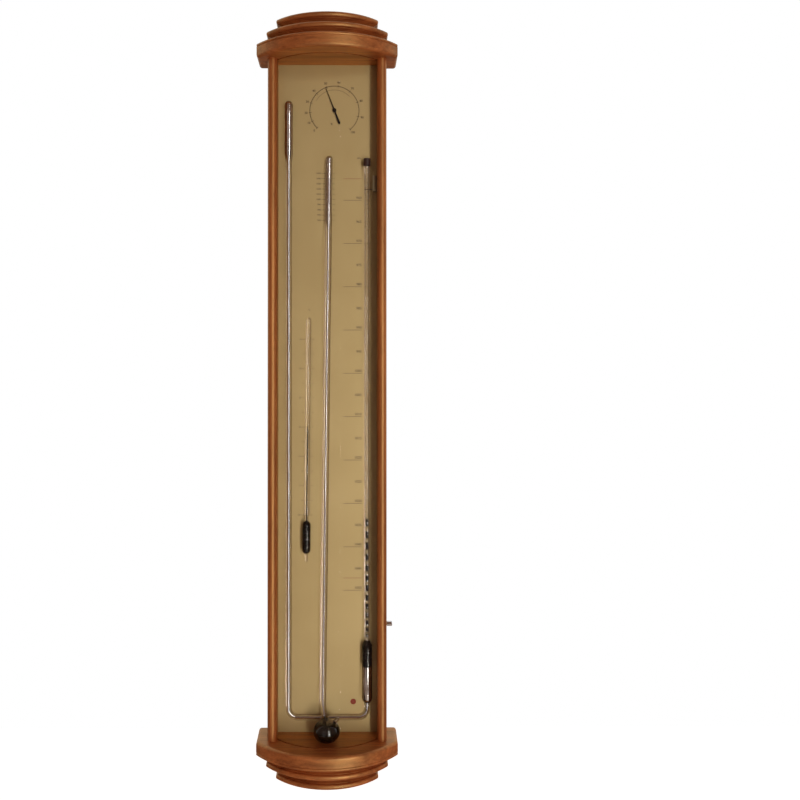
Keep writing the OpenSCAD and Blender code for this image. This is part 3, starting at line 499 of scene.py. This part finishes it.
def plain_mesh(holder):
    """The mesh that an object shows; the object itself is thrown away."""
    bpy.context.collection.objects.link(holder)
    bpy.context.view_layer.update()
    shown = holder.evaluated_get(bpy.context.evaluated_depsgraph_get())
    mesh = bpy.data.meshes.new_from_object(shown)
    bpy.data.objects.remove(holder)
    return mesh


def mark_sheet(name, rows, colour):
    """One printed mesh made of several rows of marks."""
    holder = bpy.data.objects.new(name + "_rows", bpy.data.meshes.new(name + "_rows"))
    for row in rows:
        modifier = holder.modifiers.new("row", "NODES")
        modifier.node_group = mark_tree
        for key, value in {**row, "Ink": colour}.items():
            modifier[mark_sockets[key]] = value
    return add_piece(name, plain_mesh(holder), colour)


def straight_row(left, right, first_z, step_z, count, line=0.42 * MM):
    """Level rules of one length, one under the other."""
    middle = Vector(((left + right) / 2, print_y, first_z))
    return {"Count": count, "First": middle, "Step": Vector((0, 0, step_z)),
            "Size": Vector((right - left, print_t, line))}


def round_row(inner, outer, first_angle, angle_step, count, line):
    """Spokes round the dial, from an inner to an outer radius."""
    middle = Vector((dial_x, print_y, dial_z))
    return {"Count": count, "First": middle, "Step": Vector((0, 0, 0)),
            "Size": Vector((outer - inner, print_t, line)), "Radius": (inner + outer) / 2,
            "Turn": math.radians(first_angle), "Turn step": math.radians(angle_step)}


def lettering(name, labels, colour, weight):
    """One printed mesh of numbers; labels are (text, x, z, height, side it is aligned to)."""
    capital_share = 0.70
    gathered = bmesh.new()
    for text, x, z, height, side in labels:
        curve = bpy.data.curves.new("label", "FONT")
        curve.body = text
        curve.size = height / capital_share
        curve.align_x = side
        curve.align_y = "CENTER"
        curve.extrude = print_t / 2
        curve.offset = weight
        curve.resolution_u = 3
        mesh = plain_mesh(bpy.data.objects.new("label", curve))
        mesh.transform(Matrix.Translation((x, print_y, z)) @ upright)
        gathered.from_mesh(mesh)
        bpy.data.curves.remove(curve)
        bpy.data.meshes.remove(mesh)
    mesh = bpy.data.meshes.new(name)
    gathered.to_mesh(mesh)
    gathered.free()
    return add_piece(name, mesh, colour)


def plate_dot(name, x, z, radius, colour):
    """A small flat printed spot."""
    shape = bmesh.new()
    bmesh.ops.create_cone(shape, cap_ends=True, segments=32, radius1=radius, radius2=radius,
                          depth=print_t)
    mesh = bpy.data.meshes.new(name)
    shape.to_mesh(mesh)
    shape.free()
    mesh.transform(Matrix.Translation((x, print_y, z)) @ upright)
    return add_piece(name, mesh, colour)


# Middle scale: pressures of the cistern barometer, a long rule every ten hectopascals
mid_hpa = 0.7501 * MM
mid_highest = 1050
mid_count = 10
mid_top_z = floor_z + 800.2 * MM
mid_left = -8.2 * MM
mid_long = 8.6 * MM
mid_short = 4.4 * MM
mid_right = 10.6 * MM
mid_far = 3.6 * MM
mid_step = -10 * mid_hpa
mid_rows = [
    straight_row(mid_left, mid_left + mid_long, mid_top_z, mid_step, mid_count),
    straight_row(mid_left + mid_long - mid_short, mid_left + mid_long, mid_top_z + mid_step / 2, mid_step,
                 mid_count - 1),
    straight_row(mid_right - mid_far, mid_right, mid_top_z, mid_step, mid_count),
]
mid_number_h = 2.3 * MM
mid_number_x = mid_left - 1.4 * MM
mid_labels = [(str(mid_highest - 10 * i), mid_number_x, mid_top_z + i * mid_step, mid_number_h, "RIGHT")
              for i in range(mid_count)]

# Contra scale: the same pressures stretched out beside the open leg, lowest at the top
contra_hpa = 6.215 * MM
contra_lowest = 960
contra_count = 10
contra_top_z = floor_z + 761.6 * MM
contra_step = -10 * contra_hpa
contra_right = 49.0 * MM
contra_left = contra_right - 26.0 * MM
rule_line = 0.5 * MM
fine_line = 0.34 * MM
fine_left = 51.9 * MM
ten_right = fine_left + 10 * MM
five_right = fine_left + 8 * MM
one_left = fine_left + 2.2 * MM
one_right = fine_left + 7 * MM
one_count = 111
contra_rows = [
    straight_row(contra_left, contra_right, contra_top_z, contra_step, contra_count, rule_line),
    straight_row(fine_left, ten_right, contra_top_z, contra_step, contra_count, rule_line),
    straight_row(fine_left, five_right, contra_top_z + contra_step / 2, contra_step, contra_count - 1),
    straight_row(one_left, one_right, contra_top_z - contra_step, -contra_hpa, one_count, fine_line),
]
contra_number_h = 3.6 * MM
above_rule = 3.4 * MM
contra_labels = []
for i in range(2 * contra_count - 1):
    value = contra_lowest + 5 * i
    level = contra_top_z + i * contra_step / 2
    lift = above_rule if value % 10 == 0 else 0.0
    contra_labels.append((str(value), contra_right, level + lift, contra_number_h, "RIGHT"))
unit_x = contra_right - 1 * MM
unit_z = floor_z + 822 * MM
contra_labels.append(("hPa", unit_x, unit_z, 2.6 * MM, "RIGHT"))

# Thermometer scale, which leans with its stem
stem_lean = math.tan(math.radians(0.57))
coldest = -10
warmest = 50
cold_z = floor_z + 310.1 * MM
degree = 251.6 * MM / (warmest - coldest)
stem_x = -30.0 * MM + stem_lean * 54 * MM


def stem_row(left, right, degree_step, line=0.42 * MM):
    """Rules on one side of the stem, from the coldest to the warmest."""
    count = (warmest - coldest) // degree_step + 1
    row = straight_row(stem_x + left, stem_x + right, cold_z, degree_step * degree, count, line)
    row["Step"].x = stem_lean * degree_step * degree
    return row


stem_gap = 3.0 * MM
stem_rows = [
    stem_row(-8.6 * MM, -stem_gap, 5),
    stem_row(stem_gap, 8.0 * MM, 5),
    stem_row(stem_gap, 6.0 * MM, 1, 0.3 * MM),
]
stem_number_h = 2.0 * MM
stem_number_x = stem_x - 10.0 * MM
stem_labels = []
for temperature in range(coldest, warmest + 1, 10):
    rise = (temperature - coldest) * degree
    stem_labels.append((str(abs(temperature)), stem_number_x + stem_lean * rise, cold_z + rise,
                        stem_number_h, "RIGHT"))
celsius_x = stem_x + 3.0 * MM
celsius_z = floor_z + 604 * MM
stem_labels.append(("°C", celsius_x, celsius_z, 2.4 * MM, "CENTER"))

# Hygrometer dial: per cent of humidity against the angle on its ring
dial_angles = {0: 225, 10: 206, 20: 185, 30: 162, 40: 136, 50: 108, 60: 81, 70: 51, 80: 20, 90: -14,
               100: -50}
percents = sorted(dial_angles)
dial_r = 35.4 * MM
tick_inner_r = dial_r - 2.6 * MM
tick_outer_r = dial_r + 1.6 * MM
tick_line = 0.7 * MM
small_inner_r = dial_r - 1.4 * MM
small_outer_r = dial_r + 0.2 * MM
small_line = 0.45 * MM
dial_rows = []
for percent in percents:
    dial_rows.append(round_row(tick_inner_r, tick_outer_r, dial_angles[percent], 0, 1, tick_line))
for low, high in zip(percents, percents[1:]):
    spread = (dial_angles[high] - dial_angles[low]) / 5
    dial_rows.append(round_row(small_inner_r, small_outer_r, dial_angles[low] + spread, spread, 4,
                               small_line))

# The dial's ring, of short chords that just overlap, and the dashed arc inside it
ring_half = 0.40 * MM
ring_steps = 110
ring_step = (dial_angles[100] - dial_angles[0]) / ring_steps
chord = dial_r * math.radians(abs(ring_step)) * 1.05
dial_rows.append(round_row(dial_r - ring_half, dial_r + ring_half, dial_angles[0], ring_step,
                           ring_steps + 1, chord))
arc_r = 29.7 * MM
arc_half = 0.32 * MM
arc_start = 150
arc_step = -3.4
arc_dashes = 32
arc_dash = 1.1 * MM
dial_rows.append(round_row(arc_r - arc_half, arc_r + arc_half, arc_start, arc_step, arc_dashes, arc_dash))
dial_number_h = 3.1 * MM
dial_number_r = 40.9 * MM
dial_labels = []
for percent in percents:
    angle = math.radians(dial_angles[percent])
    dial_labels.append((str(percent), dial_x + dial_number_r * math.cos(angle),
                        dial_z + dial_number_r * math.sin(angle), dial_number_h, "CENTER"))
percent_x = dial_x - 4 * MM
percent_z = dial_z - 19.5 * MM
dial_labels.append(("%", percent_x, percent_z, 3.0 * MM, "CENTER"))

# Rules of the highest and the lowest pressure, and a small plain spot
record_line = 0.45 * MM
record_rows = []
for record_z in (floor_z + 792.5 * MM, floor_z + 219.8 * MM):
    record_rows.append(straight_row(contra_left, contra_right, record_z, 1, 1, record_line))
spot_x = 36.9 * MM
spot_z = floor_z + 43.2 * MM
spot_r = 4.1 * MM

all_rows = mid_rows + contra_rows + stem_rows + dial_rows
tube_labels = mid_labels + contra_labels + stem_labels
light_weight = 0.035 * MM
bold_weight = 0.08 * MM
scale_marks = mark_sheet("scale_marks", all_rows, black_ink)
scale_numbers = lettering("scale_numbers", tube_labels, black_ink, light_weight)
dial_numbers = lettering("dial_numbers", dial_labels, black_ink, bold_weight)
record_marks = mark_sheet("record_rules", record_rows, red_ink)
spot = plate_dot("plate_spot", spot_x, spot_z, spot_r, spot_ink)
for piece in (scale_marks, scale_numbers, dial_numbers):
    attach(piece, "case")
for piece in (record_marks, spot):
    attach(piece, "case")


# Room, lamps and camera
def paint_room():
    """A dim warm studio, lighter above; white behind the wall for the camera and for what glass shows."""
    floor_tone = (0.090, 0.055, 0.040)
    ceiling_tone = (0.21, 0.124, 0.086)
    behind_tone = (0.27, 0.17, 0.125)
    white = (1.0, 1.0, 1.0)
    world = bpy.data.worlds.new("studio")
    bpy.context.scene.world = world
    world.use_nodes = True
    tree = world.node_tree
    background = tree.nodes["Background"]
    coords = add(tree, "ShaderNodeTexCoord")
    parts = add(tree, "ShaderNodeSeparateXYZ")
    tree.links.new(coords.outputs["Generated"], parts.inputs[0])
    behind = math_node(tree, "GREATER_THAN", parts.outputs["Y"], 0.0)
    level = math_node(tree, "MULTIPLY_ADD", parts.outputs["Z"], 0.5, 0.5)
    path = add(tree, "ShaderNodeLightPath")
    bent = math_node(tree, "MAXIMUM", path.outputs["Is Glossy Ray"], path.outputs["Is Transmission Ray"])
    wall = math_node(tree, "MULTIPLY", behind, ramp(tree, level, [(0.40, 0.0), (0.46, 1.0)]))
    bent_white = math_node(tree, "MULTIPLY", bent, wall)
    seen = math_node(tree, "MAXIMUM", path.outputs["Is Camera Ray"], bent_white)
    front = ramp(tree, level, [(0.38, floor_tone), (0.56, ceiling_tone)])
    room = mix(tree, behind, front, behind_tone)
    tree.links.new(mix(tree, seen, room, white), background.inputs["Color"])
    background.inputs["Strength"].default_value = 1.0


def tall_lamp(name, azimuth, distance, width, low, high, level, colour):
    """An upright strip light that faces the plate. Its azimuth counts to the right of the front,
    its low and high ends are heights from the hanger, and its level is watts for each square metre."""
    angle = math.radians(azimuth)
    middle = (low + high) / 2
    data = bpy.data.lights.new(name, "AREA")
    data.shape = "RECTANGLE"
    data.size = width
    data.size_y = high - low
    data.energy = level * width * (high - low)
    data.color = colour
    lamp = bpy.data.objects.new(name, data)
    lamp.location = (math.sin(angle) * distance, -math.cos(angle) * distance, middle)
    towards_plate = Vector((0, 0, middle)) - lamp.location
    lamp.rotation_euler = towards_plate.to_track_quat("-Z", "Y").to_euler()
    lamp.visible_camera = False
    bpy.context.collection.objects.link(lamp)


paint_room()
lamp_warm = (1.0, 0.93, 0.84)
tall_lamp("key_strip_low", azimuth=21.5, distance=2.6, width=0.16, low=-2.08, high=-0.13, level=79,
          colour=lamp_warm)
tall_lamp("key_strip_high", azimuth=21.5, distance=2.6, width=0.16, low=0.40, high=0.86, level=60,
          colour=lamp_warm)
tall_lamp("right_window", azimuth=22, distance=2.7, width=0.8, low=-2.0, high=0.8, level=5.8,
          colour=(1.0, 0.95, 0.92))
tall_lamp("left_window", azimuth=-24, distance=2.3, width=0.9, low=-2.0, high=0.8, level=0.8,
          colour=(1.0, 0.92, 0.92))

# Camera where the photograph was taken from
camera_x = 23.4 * MM
camera_d = 1250.5 * MM
camera_z = -398.4 * MM
camera_yaw = math.radians(0.426)
camera_pitch = math.radians(0.351)
sensor_mm = 36.0
focal_px = 861.2
frame_px = 800
middle_px_x = 350.2
middle_px_y = 349.5
camera_data = bpy.data.cameras.new("camera")
camera_data.sensor_width = sensor_mm
camera_data.lens = sensor_mm * focal_px / frame_px
camera_data.shift_x = (frame_px / 2 - middle_px_x) / frame_px
camera_data.shift_y = (middle_px_y - frame_px / 2) / frame_px
camera = bpy.data.objects.new("camera", camera_data)
camera.location = (camera_x, -camera_d, camera_z)
camera.rotation_euler = (math.radians(90) + camera_pitch, 0, -camera_yaw)
bpy.context.collection.objects.link(camera)
bpy.context.scene.camera = camera
bpy.context.scene.view_settings.view_transform = "Standard"


def pale_floor():
    """A plain floor some way under the hanging case, white as the camera sees it."""
    half_side = 3.0
    drop = 1300 * MM
    shape = bmesh.new()
    bmesh.ops.create_grid(shape, x_segments=1, y_segments=1, size=half_side)
    mesh = bpy.data.meshes.new("floor")
    shape.to_mesh(mesh)
    shape.free()
    mesh.transform(Matrix.Translation((0, 0, floor_z - drop)))
    material, tree, shader = new_material("floor_white")
    shader.inputs["Base Color"].default_value = (0.8, 0.76, 0.72, 1)
    shader.inputs["Roughness"].default_value = 0.9
    shader.inputs["Emission Color"].default_value = (0.92, 0.92, 0.92, 1)
    path = add(tree, "ShaderNodeLightPath")
    tree.links.new(path.outputs["Is Camera Ray"], shader.inputs["Emission Strength"])
    piece = add_piece("floor", mesh, material)


pale_floor()
